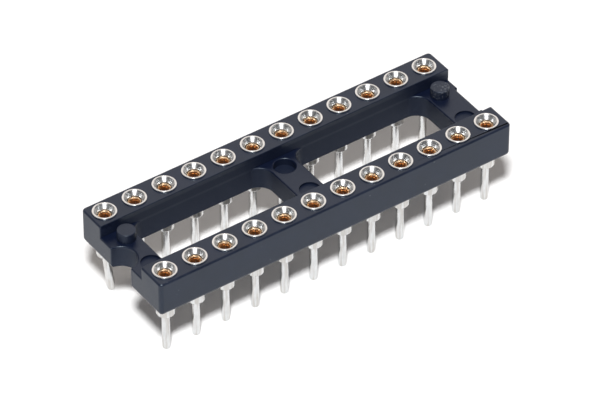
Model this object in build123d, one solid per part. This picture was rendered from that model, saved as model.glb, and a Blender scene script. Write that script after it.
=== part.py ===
from build123d import *

import os
from math import cos, pi, tan

# Turned-pin socket for a narrow 24-pin dual-in-line circuit, in millimetres.
# X runs along the two rows, away from the end with the notch. Z points up, out of the board.
# The origin is the middle of the contact grid, on the plane where the collars meet the board.

# Contact grid
pitch = 2.54
row_spacing = 7.62
contacts_per_row = 12
row_count = 2
first_contact_number = 1

# Moulded housing: two rails joined by three lower cross bars.
# The rails and ends are measured from the contacts' axes, so the housing follows the grid.
standoff = 1.05
body_height = 2.9
rail_outside = 1.22
rail_inside = 1.21
notch_end = 1.19
gate_end = 1.37
bar_height = 1.85
end_bar_inside = 1.17
centre_bar_width = 2.3
outer_corner_radius = 0.32
top_edge_chamfer = 0.1
foot_edge_chamfer = 0.2
window_corner_radius = 1.2
notch_radius = 1.25
gate_recess_width = 3.0
gate_recess_depth = 0.2

# Pegs and round dimples on the cross bars, measured from the ends and from the rails
peg_from_end = 1.55
peg_from_rail = 1.02
peg_radius = 0.7
peg_height = 0.78
dimple_radius = 0.8
dimple_depth = 0.18
deep_dimple_depth = 0.6

# Turned sleeve: flange, barrel and collar, dished mouth, blind bore and round leg.
# It repeats 24 times, so its turned surfaces have a few flats each. Only the leg is a full round.
turned_sides = 12
head_radius = 0.92
head_proud = 0.1
dish_width = 0.28
dish_depth = 0.37
barrel_radius = 0.69
barrel_clearance = 0.02
bore_radius = 0.52
bore_floor = 1.3
leg_radius = 0.3
leg_length = 3.3

# Spring clip pressed into the sleeve: a ring of eight flats that carries four fingers
clip_sides = 8
clip_clearance = 0.01
clip_ring_height = 0.26
clip_wall = 0.11
clip_lead_in = 0.1
finger_count = 4
finger_length = 1.5
finger_tip_thickness = 0.1
grip_radius = 0.2
grip_length = 0.3

# Levels and places that follow from the sizes above
half_share = 0.5
half_turn = 180
body_top = standoff + body_height
bar_top = standoff + bar_height
head_top = body_top + head_proud
half_grid = pitch * (contacts_per_row - 1) * half_share
half_row_spacing = row_spacing * half_share
notch_end_place = -half_grid - notch_end
gate_end_place = half_grid + gate_end
body_length = gate_end_place - notch_end_place
body_width = row_spacing + rail_outside + rail_outside
body_middle = (notch_end_place + gate_end_place) * half_share
half_gap = half_row_spacing - rail_inside
rail_gap = half_gap + half_gap
half_centre_bar = centre_bar_width * half_share
window_length = half_grid - end_bar_inside - half_centre_bar
window_middle = half_centre_bar + window_length * half_share
peg_offset = half_gap - peg_from_rail
notch_peg_place = notch_end_place + peg_from_end
gate_peg_place = gate_end_place - peg_from_end
clip_top = head_top - dish_depth
clip_ring_base = clip_top - clip_ring_height
clip_radius = bore_radius * cos(pi / turned_sides) - clip_clearance
clip_flat_radius = clip_radius * cos(pi / clip_sides)
clip_throat_radius = clip_flat_radius - clip_wall
clip_turn = half_turn / clip_sides
half_finger_width = clip_throat_radius * tan(pi / clip_sides)
finger_tip = clip_ring_base - finger_length

stand_on_base = (Align.CENTER, Align.CENTER, Align.MIN)
hang_from_top = (Align.CENTER, Align.CENTER, Align.MAX)
stand_inside_end = (Align.MAX, Align.CENTER, Align.MIN)


def contact_places():
    """Contact axes in pin order: along the front row from the notch end, then back along the rear row."""
    grid = [place.position for place in GridLocations(pitch, row_spacing, contacts_per_row, row_count)]
    front = sorted((point for point in grid if point.Y < 0), key=lambda point: point.X)
    rear = sorted((point for point in grid if point.Y > 0), key=lambda point: -point.X)
    return [Pos(point) for point in front + rear]


def body_block():
    """Block as large as the housing, with round upright corners and its outer edges eased."""
    outline = RectangleRounded(body_length, body_width, outer_corner_radius)
    block = extrude(Pos(body_middle, 0, standoff) * outline, body_height)
    block = chamfer(block.faces().sort_by(Axis.Z)[-1].edges(), top_edge_chamfer)
    return chamfer(block.faces().sort_by(Axis.Z)[0].edges(), foot_edge_chamfer)


def channel():
    """Space between the rails above the cross bars."""
    return Pos(body_middle, 0, bar_top) * Box(body_length, rail_gap, body_height, align=stand_on_base)


def windows():
    """Two through windows with round corners, one on each side of the centre bar."""
    outline = RectangleRounded(window_length, rail_gap, window_corner_radius)
    window = extrude(Pos(0, 0, standoff) * outline, body_height)
    return [Pos(x, 0, 0) * window for x in (-window_middle, window_middle)]


def end_cuts():
    """Half-round notch by the first contact, and the shallow recess round the gate at the other end."""
    notch = Cylinder(notch_radius, body_height, align=stand_on_base)
    recess = Box(gate_recess_depth, gate_recess_width, body_height, align=stand_inside_end)
    return [Pos(notch_end_place, 0, standoff) * notch, Pos(gate_end_place, 0, standoff) * recess]


def dimples():
    """Round dimples in the bar tops: three by the front rail and a deeper one by the rear rail."""
    shallow = Cylinder(dimple_radius, dimple_depth, align=hang_from_top)
    deep = Cylinder(dimple_radius, deep_dimple_depth, align=hang_from_top)
    fronts = [Pos(x, -peg_offset, bar_top) * shallow for x in (notch_peg_place, 0, gate_peg_place)]
    return fronts + [Pos(0, peg_offset, bar_top) * deep]


def pegs():
    """Round pegs that stand on the end bars, by the rear rail."""
    peg = Cylinder(peg_radius, peg_height, align=stand_on_base)
    return [Pos(x, peg_offset, bar_top) * peg for x in (notch_peg_place, gate_peg_place)]


def prism(radius, bottom, top):
    """Upright length of a turned surface, as a regular prism with its corners on the radius."""
    return extrude(Pos(0, 0, bottom) * RegularPolygon(radius, turned_sides), top - bottom)


def housing(places):
    """The moulded body: rails, bars, windows, end cuts, pegs, dimples and a hole for each barrel."""
    open_frame = body_block() - [channel(), *windows(), *end_cuts(), *dimples()]
    hole = prism(barrel_radius + barrel_clearance, standoff, body_top)
    return (open_frame + pegs()) - [place * hole for place in places]


def flared(tube, width, depth):
    """Upright tube with the edge of the opening in its top cut back by a width and a depth."""
    top = tube.faces().sort_by(Axis.Z)[-1]
    return chamfer(top.inner_wires()[0].edges(), width, depth, reference=top)


def sleeve():
    """Turned sleeve: its flange rests on the rail, and the foot of its barrel is the collar."""
    outside = prism(head_radius, body_top, head_top) + prism(barrel_radius, 0, body_top)
    tube = outside - prism(bore_radius, bore_floor, head_top)
    leg = Cylinder(leg_radius, leg_length, align=hang_from_top)
    return flared(tube, dish_width, dish_depth) + leg


def clip_ring():
    """Ring of the clip: its corners reach the bore and its flats slope in to the throat."""
    outside = RegularPolygon(clip_radius, clip_sides, rotation=clip_turn)
    throat = RegularPolygon(clip_throat_radius, clip_sides, major_radius=False, rotation=clip_turn)
    ring = extrude(Pos(0, 0, clip_ring_base) * (outside - throat), clip_ring_height)
    return flared(ring, clip_lead_in, clip_lead_in)


def clip_finger():
    """One finger: it hangs from a flat of the ring and leans in to the flat that grips the pin."""
    side = Polyline(
        (clip_throat_radius, clip_ring_base),
        (clip_flat_radius, clip_ring_base),
        (grip_radius + finger_tip_thickness, finger_tip),
        (grip_radius, finger_tip),
        (grip_radius, finger_tip + grip_length),
        close=True,
    )
    return extrude(Plane.XZ * make_face(side), half_finger_width, both=True)


def clip():
    """Spring clip: the ring and its fingers in one piece."""
    return clip_ring() + [place * clip_finger() for place in PolarLocations(0, finger_count)]


os.makedirs("parts", exist_ok=True)
places = contact_places()
export_step(housing(places), "parts/body.step")
one_sleeve = sleeve()
one_clip = clip()
for number, place in enumerate(places, start=first_contact_number):
    export_step(place * one_sleeve, f"parts/sleeve_{number:02d}.step")
    export_step(place * one_clip, f"parts/clip_{number:02d}.step")
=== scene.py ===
import math

import bmesh
import bpy
from mathutils import Matrix, Vector


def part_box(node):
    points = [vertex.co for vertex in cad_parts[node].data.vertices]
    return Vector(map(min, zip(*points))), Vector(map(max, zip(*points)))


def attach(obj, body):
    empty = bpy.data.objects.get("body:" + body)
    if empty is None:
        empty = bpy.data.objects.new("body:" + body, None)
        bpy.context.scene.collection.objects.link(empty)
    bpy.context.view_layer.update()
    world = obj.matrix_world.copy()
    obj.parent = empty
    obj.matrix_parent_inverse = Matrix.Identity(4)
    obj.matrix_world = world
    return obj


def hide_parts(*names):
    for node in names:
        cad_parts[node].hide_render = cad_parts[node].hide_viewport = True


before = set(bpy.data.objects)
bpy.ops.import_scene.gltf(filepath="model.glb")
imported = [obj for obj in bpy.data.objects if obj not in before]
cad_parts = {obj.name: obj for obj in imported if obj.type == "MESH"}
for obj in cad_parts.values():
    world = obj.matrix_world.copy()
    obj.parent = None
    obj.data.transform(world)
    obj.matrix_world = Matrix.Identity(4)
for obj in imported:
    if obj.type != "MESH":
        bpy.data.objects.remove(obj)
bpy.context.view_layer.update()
mm = 0.001
print("frame loaded")


# One shader value. Sums and products of these become Math nodes.
# Colours and vectors go through Mix and Vector Math.
class Wire:
    def __init__(self, shader, socket):
        self.shader = shader
        self.socket = socket

    def maths(self, operation, first, second):
        return self.shader.node("ShaderNodeMath", {"operation": operation}, {0: first, 1: second})["Value"]

    def __add__(self, other):
        return self.maths("ADD", self, other)

    def __radd__(self, other):
        return self.maths("ADD", other, self)

    def __sub__(self, other):
        return self.maths("SUBTRACT", self, other)

    def __rsub__(self, other):
        return self.maths("SUBTRACT", other, self)

    def __mul__(self, other):
        return self.maths("MULTIPLY", self, other)

    def __rmul__(self, other):
        return self.maths("MULTIPLY", other, self)

    def __truediv__(self, other):
        return self.maths("DIVIDE", self, other)

    def __rtruediv__(self, other):
        return self.maths("DIVIDE", other, self)

    def __pow__(self, other):
        return self.maths("POWER", self, other)

    def __rpow__(self, other):
        return self.maths("POWER", other, self)

    def over(self, other):
        return self.maths("GREATER_THAN", self, other)

    # Smooth step from one value to another between two ends
    def ramp(self, low, high, lowValue=0.0, highValue=1.0):
        values = {0: self, 1: low, 2: high, 3: lowValue, 4: highValue}
        return self.shader.node("ShaderNodeMapRange", {"interpolation_type": "SMOOTHSTEP"}, values)["Result"]


# One node, which gives its outputs by name, each as a Wire
class Made:
    def __init__(self, shader, node):
        self.shader = shader
        self.node = node

    def __getitem__(self, name):
        return Wire(self.shader, self.node.outputs[name])


# The nodes of a material or of the world, and the one method that adds any node to them
class Shader:
    def __init__(self, owner):
        owner.use_nodes = True
        self.owner = owner
        self.tree = owner.node_tree
        self.tree.nodes.clear()

    # Type, settings, then values or links by input
    def node(self, kind, settings=None, inputs=None):
        made = self.tree.nodes.new(kind)
        for key, value in (settings or {}).items():
            setattr(made, key, value)
        for key, value in (inputs or {}).items():
            if isinstance(value, Wire):
                self.tree.links.new(value.socket, made.inputs[key])
            else:
                made.inputs[key].default_value = value
        return Made(self, made)

    def place(self):
        return self.node("ShaderNodeTexCoord")["Object"]

    def noise(self, place, size, detail, roughness):
        inputs = {"Vector": place, "Scale": 1.0 / size, "Detail": detail, "Roughness": roughness}
        return self.node("ShaderNodeTexNoise", None, inputs)["Fac"]

    def mix(self, factor, first, second):
        first, second = (colour if isinstance(colour, Wire) else (*colour, 1.0) for colour in (first, second))
        made = self.node("ShaderNodeMix", {"data_type": "RGBA"}, {0: factor, 6: first, 7: second})
        return Wire(self, made.node.outputs[2])

    def bump(self, height, strength, distance, normal=None):
        inputs = {"Strength": strength, "Distance": distance, "Height": height}
        if normal is not None:
            inputs["Normal"] = normal
        return self.node("ShaderNodeBump", None, inputs)["Normal"]

    def finish(self, inputs):
        surface = self.node("ShaderNodeBsdfPrincipled", None, inputs)["BSDF"]
        self.node("ShaderNodeOutputMaterial", None, {"Surface": surface})
        return self.owner


# Moulded plastic of the frame. Noises are size, detail and roughness, and ranges are their two ends.
mouldedLook = {
    "dark": (0.005, 0.008, 0.021),
    "light": (0.009, 0.013, 0.030),
    "sheen": (0.76, 0.89, 1.0, 1.0),
    "ior": 1.5,
    "roughness": (0.30, 0.38),
    "cloud": (2.2 * mm, 4.0, 0.6),
    "cloudRange": (0.3, 0.7),
    "grain": (0.07 * mm, 2.0, 0.5),
    "grainDepth": 0.010 * mm,
    "grainStrength": 0.5,
    "grainDulls": 0.08,
    "dust": (0.22, 0.23, 0.25),
    "dustStep": 0.55 * mm,
    "dustRange": (0.05, 0.09),
    "dustPatch": (0.88 * mm, 3.0, 0.5),
    "dustPatchRange": (0.56, 0.64),
    "dustShare": 0.6,
    # painted shade: the walls and bars between the rails get this darker colour
    "inner": (0.003, 0.006, 0.021),  # walls between the rails
    "innerRoughness": 0.58,
    "innerHalf": (2.62 * mm, 2.78 * mm),
    "innerTop": (3.5 * mm, 3.67 * mm),
    "innerEnd": (-15.12 * mm, -15.06 * mm),
    "barFoot": (2.70 * mm, 2.78 * mm),  # tops of the cross bars, glossier than the walls
    "barTop": (2.92 * mm, 2.96 * mm),
    "fleck": (0.10, 0.11, 0.13),  # torn top of the peg at the gate end
    "fleckNoise": (0.2 * mm, 2.0, 0.6),
    "fleckRange": (0.55, 0.68),
    "fleckFoot": 3.0 * mm,
    "fleckEnd": 12.0 * mm,
    "fleckHalf": (2.3 * mm, 2.4 * mm),
    "fleckShare": 0.7,
    "fleckHeight": 2.0,
}


def mouldedPlastic(look):
    shader = Shader(bpy.data.materials.new("moulded_plastic"))
    place = shader.place()
    split = shader.node("ShaderNodeSeparateXYZ", None, {0: place})
    along, across, height = split["X"], split["Y"], split["Z"]
    fromMiddle = (across * across) ** 0.5
    cloud = shader.noise(place, *look["cloud"])
    grain = shader.noise(place, *look["grain"])
    cell = shader.node("ShaderNodeTexVoronoi", None, {"Vector": place, "Scale": 1.0 / look["dustStep"]})
    patch = shader.noise(place, *look["dustPatch"]).ramp(*look["dustPatchRange"])
    dust = cell["Distance"].ramp(*look["dustRange"], 1.0, 0.0) * patch
    # Painted shade: between the rails and below their tops the colour is made darker; the same region is also
    # made duller
    paintedShadeBetweenRails = fromMiddle.ramp(*look["innerHalf"], 1.0, 0.0) * height.ramp(*look["innerTop"], 1.0, 0.0)
    paintedShadeBetweenRails = paintedShadeBetweenRails * along.ramp(*look["innerEnd"])
    bar = height.ramp(*look["barFoot"]) * height.ramp(*look["barTop"], 1.0, 0.0)
    onPeg = along.over(look["fleckEnd"]) * height.over(look["fleckFoot"])
    onPeg = onPeg * fromMiddle.ramp(*look["fleckHalf"], 1.0, 0.0)
    fleck = shader.noise(place, *look["fleckNoise"]).ramp(*look["fleckRange"]) * onPeg
    colour = shader.mix(cloud.ramp(*look["cloudRange"]), look["dark"], look["light"])
    colour = shader.mix(dust * look["dustShare"], colour, look["dust"])
    colour = shader.mix(paintedShadeBetweenRails, colour, look["inner"])
    colour = shader.mix(fleck * look["fleckShare"], colour, look["fleck"])
    rough = cloud.ramp(*look["cloudRange"], *look["roughness"]) + grain * look["grainDulls"]
    rough = rough + (look["innerRoughness"] - rough) * paintedShadeBetweenRails * (1.0 - bar)
    normal = shader.bump(grain + fleck * look["fleckHeight"], look["grainStrength"], look["grainDepth"])
    return shader.finish({
        "Base Color": colour, "Roughness": rough, "Normal": normal, "IOR": look["ior"],
        "Specular Tint": look["sheen"],
    })


# Tin plating on the turned sleeves, bright, with darker streaks painted on the legs as reflections, turned on
# the heads
tinLook = {
    "dark": (0.67, 0.68, 0.68),
    "light": (0.78, 0.79, 0.795),
    "roughness": (0.26, 0.32),
    "legRoughness": (0.10, 0.15),
    "legTop": (1.2 * mm, 2.4 * mm),
    "cloud": (0.5 * mm, 3.0, 0.55),
    "cloudRange": (0.3, 0.7),
    "cloudShare": 0.7,
    "pit": (0.06 * mm, 2.0, 0.5),
    "pitDulls": 0.04,
    # painted reflection: darker streaks down the legs
    "streak": (0.52, 0.495, 0.465),
    "streakNoise": (0.2 * mm, 2.0, 0.5),
    "streakRange": (0.4, 0.6),
    "streakStretch": 0.08,
    "streakShare": 0.7,
    "waveDepth": 0.02 * mm,
    "waveStrength": 0.5,
    "ringStep": 0.03 * mm,
    "ringDetail": 2.0,
    "ringDepth": 0.005 * mm,
    "ringStrength": 1.0,
    "turned": 0.7,
    "turnedWay": 0.25,
}


def tinPlating(look):
    shader = Shader(bpy.data.materials.new("tin_plating"))
    place = shader.place()
    split = shader.node("ShaderNodeSeparateXYZ", None, {0: place})
    height = split["Z"]
    head = height.ramp(*look["legTop"])
    cloud = shader.noise(place, *look["cloud"])
    pit = shader.noise(place, *look["pit"])
    # Painted reflection: darker streaks stretched along the legs, none on the heads
    stretchedPlace = {0: split["X"], 1: split["Y"], 2: height * look["streakStretch"]}
    stretchedPlace = shader.node("ShaderNodeCombineXYZ", None, stretchedPlace)["Vector"]
    streak = shader.noise(stretchedPlace, *look["streakNoise"]).ramp(*look["streakRange"]) * (1.0 - head)
    ring = {"W": height, "Scale": 1.0 / look["ringStep"], "Detail": look["ringDetail"]}
    ring = shader.node("ShaderNodeTexNoise", {"noise_dimensions": "1D"}, ring)["Fac"]
    mixed = cloud.ramp(*look["cloudRange"]) * look["cloudShare"] + pit * (1.0 - look["cloudShare"])
    colour = shader.mix(mixed, look["dark"], look["light"])
    colour = shader.mix(streak * look["streakShare"], colour, look["streak"])
    rough = cloud.ramp(*look["cloudRange"], *look["roughness"]) * head
    rough = rough + cloud.ramp(*look["cloudRange"], *look["legRoughness"]) * (1.0 - head)
    waves = shader.bump(cloud, look["waveStrength"], look["waveDepth"])
    return shader.finish({
        "Base Color": colour, "Metallic": 1.0, "Roughness": rough + pit * look["pitDulls"],
        "Normal": shader.bump(ring * head, look["ringStrength"], look["ringDepth"], waves),
        "Anisotropic": look["turned"], "Anisotropic Rotation": look["turnedWay"],
    })


# Gold plating on the spring clips, painted darker and redder down in the bore as shade
goldLook = {
    "dark": (0.62, 0.43, 0.26),
    "light": (0.78, 0.60, 0.41),
    # painted shade: darker, redder colour low in the bore
    "deep": (0.62, 0.36, 0.18),
    "deepRange": (3.54 * mm, 3.64 * mm),
    "roughness": (0.34, 0.48),
    "cloud": (0.25 * mm, 3.0, 0.55),
    "cloudRange": (0.35, 0.65),
    "pit": (0.03 * mm, 2.0, 0.5),
    "pitRange": (0.3, 0.7),
    "pitDepth": 0.0015 * mm,
    "pitStrength": 0.4,
}


def goldPlating(look):
    shader = Shader(bpy.data.materials.new("gold_plating"))
    place = shader.place()
    height = shader.node("ShaderNodeSeparateXYZ", None, {0: place})["Z"]
    cloud = shader.noise(place, *look["cloud"])
    pit = shader.noise(place, *look["pit"])
    colour = shader.mix(cloud.ramp(*look["cloudRange"]), look["dark"], look["light"])
    # Painted shade: the colour turns darker and redder below the ring's top
    colour = shader.mix(height.ramp(*look["deepRange"], 1.0, 0.0), colour, look["deep"])
    rough = pit.ramp(*look["pitRange"], *look["roughness"])
    normal = shader.bump(pit, look["pitStrength"], look["pitDepth"])
    return shader.finish({"Base Color": colour, "Metallic": 1.0, "Roughness": rough, "Normal": normal})


plastic = mouldedPlastic(mouldedLook)
tin = tinPlating(tinLook)
gold = goldPlating(goldLook)
print("materials made")


def meshObject(name, mesh, material, node):
    piece = bpy.data.objects.new(name, mesh)
    bpy.context.scene.collection.objects.link(piece)
    if not mesh.materials:
        mesh.materials.append(material)
    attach(piece, "root")
    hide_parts(node)
    return piece


# Smooth shading in which the larger face leads, so that flat faces stay flat up to their rounded edges
def smoothMesh(name, form, angle):
    bmesh.ops.recalc_face_normals(form, faces=form.faces)
    for face in form.faces:
        face.smooth = True
    mesh = bpy.data.meshes.new(name)
    form.to_mesh(mesh)
    form.free()
    faces = [(face.normal.copy(), face.area) for face in mesh.polygons]
    around = [[] for vertex in mesh.vertices]
    for face in mesh.polygons:
        for vertex in face.vertices:
            around[vertex].append(faces[face.index])
    limit = math.cos(math.radians(angle))
    normals = []
    for face in mesh.polygons:
        own = faces[face.index][0]
        for vertex in face.vertices:
            near = [normal * area for normal, area in around[vertex] if normal.dot(own) > limit]
            normals.append(sum(near, Vector()).normalized())
    mesh.normals_split_custom_set(normals)
    return mesh


# Moulded frame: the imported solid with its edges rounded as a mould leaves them, more at the foot and
# on the bars. Widths are shares of the widest, and angles are in degrees.
frameShape = {
    "widest": 0.14 * mm, "foot": 1.0, "bar": 0.85, "peg": 0.45, "rail": 0.4, "other": 0.5,
    "segments": 3, "sharp": 35.0, "flat": 0.5, "smooth": 50.0,
    "weld": 0.002 * mm, "near": 0.01 * mm, "shortest": 0.001 * mm,
    "footTop": 1.3 * mm, "barTop": 2.9 * mm, "pegTop": 3.68 * mm, "railTop": 3.8 * mm,
    "channel": 2.7 * mm, "row": 3.81 * mm, "hole": 0.75 * mm,
    "dimples": (-13.61 * mm, 0.0, 13.79 * mm), "dimpleRow": -1.58 * mm, "dimpleClear": 0.95 * mm,
}


# How near an edge comes to an upright axis, seen from above
def reach(edge, axis, shortest):
    first, second = (vertex.co.xy for vertex in edge.verts)
    along = second - first
    share = (axis - first).dot(along) / max(along.length_squared, shortest ** 2)
    return (first + along * min(1.0, max(0.0, share)) - axis).length


# How far an edge is rounded. It stays sharp at the holes, and by the front dimples, where there is
# no room to round it.
def edgeShare(edge, shape):
    heights = [vertex.co.z for vertex in edge.verts]
    sides = [abs(vertex.co.y) for vertex in edge.verts]
    if all(abs(side - shape["row"]) < shape["hole"] for side in sides):
        return 0.0
    for place in shape["dimples"]:
        if reach(edge, Vector((place, shape["dimpleRow"])), shape["shortest"]) < shape["dimpleClear"]:
            return 0.0
    inChannel = all(side < shape["channel"] for side in sides)
    levels = (shape["barTop"], shape["pegTop"])
    onBar, onPeg = (all(abs(z - level) < shape["near"] for z in heights) for level in levels)
    if max(heights) < shape["footTop"] and not inChannel:
        return shape["foot"]
    if onBar and inChannel:
        return shape["bar"]
    if onPeg:
        return shape["peg"]
    return shape["rail"] if min(heights) > shape["railTop"] else shape["other"]


def mouldedFrame(shape):
    form = bmesh.new()
    form.from_mesh(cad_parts["body"].data)
    bmesh.ops.remove_doubles(form, verts=form.verts, dist=shape["weld"])
    bmesh.ops.recalc_face_normals(form, faces=form.faces)
    flat = math.radians(shape["flat"])
    bmesh.ops.dissolve_limit(form, angle_limit=flat, verts=form.verts, edges=form.edges, delimit={"NORMAL"})
    weights = form.edges.layers.float.new("bevel_weight_edge")
    sharp = math.radians(shape["sharp"])
    for edge in form.edges:
        if len(edge.link_faces) == 2 and edge.is_convex and edge.calc_face_angle(0.0) > sharp:
            edge[weights] = edgeShare(edge, shape)
    mesh = bpy.data.meshes.new("cut_frame")
    form.to_mesh(mesh)
    form.free()
    cut = bpy.data.objects.new("cut_frame", mesh)
    bpy.context.scene.collection.objects.link(cut)
    rounding = cut.modifiers.new("rounding", "BEVEL")
    rounding.limit_method = "WEIGHT"
    rounding.width = shape["widest"]
    rounding.segments = shape["segments"]
    rounding.use_clamp_overlap = False
    form = bmesh.new()
    form.from_object(cut, bpy.context.evaluated_depsgraph_get())
    bpy.data.objects.remove(cut)
    bpy.data.meshes.remove(mesh)
    return smoothMesh("moulded_frame", form, shape["smooth"])


meshObject("moulded_frame", mouldedFrame(frameShape), plastic, "body")
print("frame dressed")


# Turned sleeve as a lathe profile, radius and height in millimetres from the leg's tip round to the
# bore's floor. One leg is bent, more and more towards its tip.
sleeveShape = {
    "turns": 56, "smooth": 50.0, "turnStep": 270.0,
    "leg": [
        (0.0, -3.3), (0.19, -3.3), (0.225, -3.285), (0.262, -3.235), (0.283, -3.17), (0.294, -3.07),
        (0.298, -2.9),
    ],
    "collar": [
        (0.298, -0.05), (0.306, -0.016), (0.33, 0.0), (0.6, 0.0), (0.63, 0.01), (0.67, 0.06), (0.684, 0.105),
    ],
    "barrel": [(0.684, 3.93), (0.70, 3.95)],
    "flange": [(0.875, 3.95), (0.893, 3.96), (0.9, 3.98), (0.9, 4.025), (0.895, 4.042), (0.882, 4.05)],
    "mouth": [
        (0.785, 4.05), (0.774, 4.046), (0.765, 4.035), (0.72, 3.98), (0.665, 3.913), (0.61, 3.845),
        (0.56, 3.784), (0.535, 3.752), (0.523, 3.733), (0.518, 3.705),
    ],
    "bore": [(0.518, 1.45), (0.49, 1.36), (0.40, 1.3), (0.0, 1.3)],
    "bentLeg": "24", "bentLean": (0.26, -0.18), "bentCurve": 1.3,
}


def spot(radius, angle, height):
    return Vector((radius * mm * math.cos(angle), radius * mm * math.sin(angle), height * mm))


def turnedSleeve(shape):
    form = bmesh.new()
    turns = shape["turns"]
    angles = [2.0 * math.pi * step / turns for step in range(turns)]
    rings = []
    for part in ("leg", "collar", "barrel", "flange", "mouth", "bore"):
        for radius, height in shape[part]:
            around = angles if radius > 0.0 else [0.0]
            rings.append([form.verts.new(spot(radius, angle, height)) for angle in around])
    for low, high in zip(rings, rings[1:]):
        for step in range(turns):
            after = (step + 1) % turns
            corners = [low[step % len(low)], low[after % len(low)]]
            corners += [high[after % len(high)], high[step % len(high)]]
            form.faces.new(list(dict.fromkeys(corners)))
    return smoothMesh("turned_sleeve", form, shape["smooth"])


def bendLeg(mesh, shape):
    tip = shape["leg"][0][1]
    for vertex in mesh.vertices:
        down = max(0.0, vertex.co.z / mm / tip)
        for axis, lean in enumerate(shape["bentLean"]):
            vertex.co[axis] += lean * mm * down ** shape["bentCurve"]
    return mesh


# Spring clip, in millimetres and degrees: the ring's section as radius and height, and four curved
# fingers that lean in from the ring to the grip
clipShape = {
    "sides": 8, "smooth": 30.0, "turnStep": 90.0,
    "ring": [
        (0.492, 3.42), (0.492, 3.66), (0.48, 3.675), (0.45, 3.673), (0.436, 3.659), (0.394, 3.575),
        (0.382, 3.55), (0.377, 3.42),
    ],
    "fingers": 4, "fingerSides": 4, "steps": 10, "leaf": 0.085, "wide": 42.0, "narrow": 36.0,
    "fingerTop": 3.45, "leanTop": 3.42, "gripTop": 2.22, "tip": 1.92, "root": 0.33616, "grip": 0.2,
}


# Joins each ring of corners to the next
def skin(form, rings):
    for low, high in zip(rings, rings[1:]):
        for side in range(len(low)):
            after = (side + 1) % len(low)
            form.faces.new([low[side], low[after], high[after], high[side]])


def clipFinger(form, shape, turn):
    rings = []
    for step in range(shape["steps"] + 1):
        down = step / shape["steps"]
        height = shape["fingerTop"] + (shape["tip"] - shape["fingerTop"]) * down
        lean = (shape["leanTop"] - height) / (shape["leanTop"] - shape["gripTop"])
        inner = shape["root"] + (shape["grip"] - shape["root"]) * max(0.0, min(1.0, lean))
        half = math.radians(shape["wide"] + (shape["narrow"] - shape["wide"]) * down)
        sides = shape["fingerSides"]
        spread = [turn + half * (2.0 * side / sides - 1.0) for side in range(sides + 1)]
        points = [(inner, angle) for angle in spread]
        points += [(inner + shape["leaf"], angle) for angle in reversed(spread)]
        rings.append([form.verts.new(spot(radius, angle, height)) for radius, angle in points])
    skin(form, rings)
    form.faces.new(rings[0])
    form.faces.new(rings[-1])


def springClip(shape):
    form = bmesh.new()
    corner = math.pi / shape["sides"]
    angles = [corner + 2.0 * corner * side for side in range(shape["sides"])]
    rings = []
    for radius, height in shape["ring"]:
        rings.append([form.verts.new(spot(radius, angle, height)) for angle in angles])
    skin(form, rings + rings[:1])
    for finger in range(shape["fingers"]):
        clipFinger(form, shape, 2.0 * math.pi * finger / shape["fingers"])
    return smoothMesh("spring_clip", form, shape["smooth"])


def contactPlaces():
    places = {}
    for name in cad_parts:
        if name.startswith("sleeve_"):
            low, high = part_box(name)
            places[name[-2:]] = ((low.x + high.x) / 2, (low.y + high.y) / 2)
    return places


# Each contact is turned against its neighbours, so that their marks differ
sleeveMesh = turnedSleeve(sleeveShape)
clipMesh = springClip(clipShape)
for number, (x, y) in sorted(contactPlaces().items()):
    bent = number == sleeveShape["bentLeg"]
    own = bendLeg(sleeveMesh.copy(), sleeveShape) if bent else sleeveMesh
    sleeve = meshObject(f"turned_sleeve_{number}", own, tin, f"sleeve_{number}")
    clip = meshObject(f"spring_clip_{number}", clipMesh, gold, f"clip_{number}")
    for piece, shape in ((sleeve, sleeveShape), (clip, clipShape)):
        piece.location = (x, y, 0.0)
        if not bent:
            piece.rotation_euler[2] = math.radians(shape["turnStep"] * int(number))
print("contacts made")


# Pale floor under the legs' tips
floorLook = {
    "level": -3.3 * mm, "half": 0.6, "cells": 8, "colour": (0.95, 0.95, 0.95, 1.0),
    "grain": (2.0 * mm, 3.0, 0.5), "grainRange": (0.3, 0.7), "roughness": (0.75, 0.85), "gloss": 0.2,
}


def paleFloor(look):
    form = bmesh.new()
    bmesh.ops.create_grid(form, x_segments=look["cells"], y_segments=look["cells"], size=look["half"])
    bmesh.ops.translate(form, verts=form.verts, vec=(0.0, 0.0, look["level"]))
    mesh = bpy.data.meshes.new("pale_floor")
    form.to_mesh(mesh)
    form.free()
    floor = bpy.data.objects.new("pale_floor", mesh)
    bpy.context.scene.collection.objects.link(floor)
    shader = Shader(bpy.data.materials.new("pale_paper"))
    rough = shader.noise(shader.place(), *look["grain"]).ramp(*look["grainRange"], *look["roughness"])
    mesh.materials.append(shader.finish({
        "Base Color": look["colour"], "Roughness": rough, "Specular IOR Level": look["gloss"],
    }))


paleFloor(floorLook)

# One small lamp high above the camera casts the shadow
keyLamp = {"at": (-0.368, -0.483, 1.024), "size": 0.17, "power": 16.0}


def roundLamp(name, lamp):
    data = bpy.data.lights.new(name, "AREA")
    data.shape = "DISK"
    data.size = lamp["size"]
    data.energy = lamp["power"]
    piece = bpy.data.objects.new(name, data)
    bpy.context.scene.collection.objects.link(piece)
    piece.location = lamp["at"]
    piece.rotation_mode = "QUATERNION"
    piece.rotation_quaternion = (-Vector(lamp["at"])).to_track_quat("-Z", "Y")


roundLamp("key", keyLamp)

# The camera sees a white world. For every other ray the room is dark, with a white backdrop behind
# the part, and its light is softer on what doesn't mirror it.
room = {
    "seen": (1.0, 1.0, 1.0, 1.0), "dark": (0.10, 0.10, 0.105), "white": (1.2, 1.11, 1.04),
    "behind": (0.574, 0.819, 0.0), "edge": (0.25, 0.65), "top": (0.80, 0.96), "soft": 0.62,
}


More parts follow.
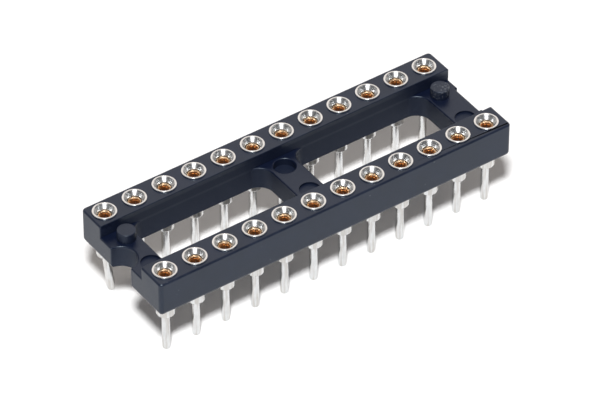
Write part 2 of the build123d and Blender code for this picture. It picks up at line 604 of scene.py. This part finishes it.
def softRoom(look):
    world = bpy.data.worlds.new("soft_room")
    bpy.context.scene.world = world
    shader = Shader(world)
    facing = shader.node("ShaderNodeTexCoord")["Generated"]
    height = shader.node("ShaderNodeSeparateXYZ", None, {0: facing})["Z"]
    level = (1.0 - height * height) ** 0.5
    aimed = shader.node("ShaderNodeVectorMath", {"operation": "DOT_PRODUCT"}, {0: facing, 1: look["behind"]})
    backdrop = (aimed["Value"] / level).ramp(*look["edge"]) * height.ramp(*look["top"], 1.0, 0.0)
    colour = shader.mix(backdrop, look["dark"], look["white"])
    ray = shader.node("ShaderNodeLightPath")
    strength = ray["Is Glossy Ray"].ramp(0.0, 1.0, look["soft"], 1.0)
    unseen = shader.node("ShaderNodeBackground", None, {"Color": colour, "Strength": strength})
    seen = shader.node("ShaderNodeBackground", None, {"Color": look["seen"], "Strength": 1.0})
    surface = {0: ray["Is Camera Ray"], 1: unseen["Background"], 2: seen["Background"]}
    surface = shader.node("ShaderNodeMixShader", None, surface)["Shader"]
    shader.node("ShaderNodeOutputWorld", None, {"Surface": surface})


softRoom(room)

# The camera's direction and place, in millimetres from the middle of the contacts' rims
cameraPlace = {
    "back": (-0.4331, -0.6172, 0.6568), "right": (0.8185, -0.5744, 0.0), "rims": (0.0, 0.0, 4.05),
    "aside": 0.152, "above": -2.480, "distance": 363.0, "lens": 305.64, "near": 0.01, "far": 10.0,
}


def addCamera(place):
    back = Vector(place["back"]).normalized()
    right = Vector(place["right"]).normalized()
    up = back.cross(right)
    eye = Vector(place["rims"]) + right * place["aside"] + up * place["above"] + back * place["distance"]
    camera = bpy.data.objects.new("camera", bpy.data.cameras.new("camera"))
    bpy.context.scene.collection.objects.link(camera)
    camera.matrix_world = Matrix((
        (right.x, up.x, back.x, eye.x * mm),
        (right.y, up.y, back.y, eye.y * mm),
        (right.z, up.z, back.z, eye.z * mm),
        (0.0, 0.0, 0.0, 1.0),
    ))
    camera.data.lens = place["lens"]
    camera.data.clip_start = place["near"]
    camera.data.clip_end = place["far"]
    bpy.context.scene.camera = camera


addCamera(cameraPlace)
bpy.context.scene.view_settings.view_transform = "Standard"
print("stage set")
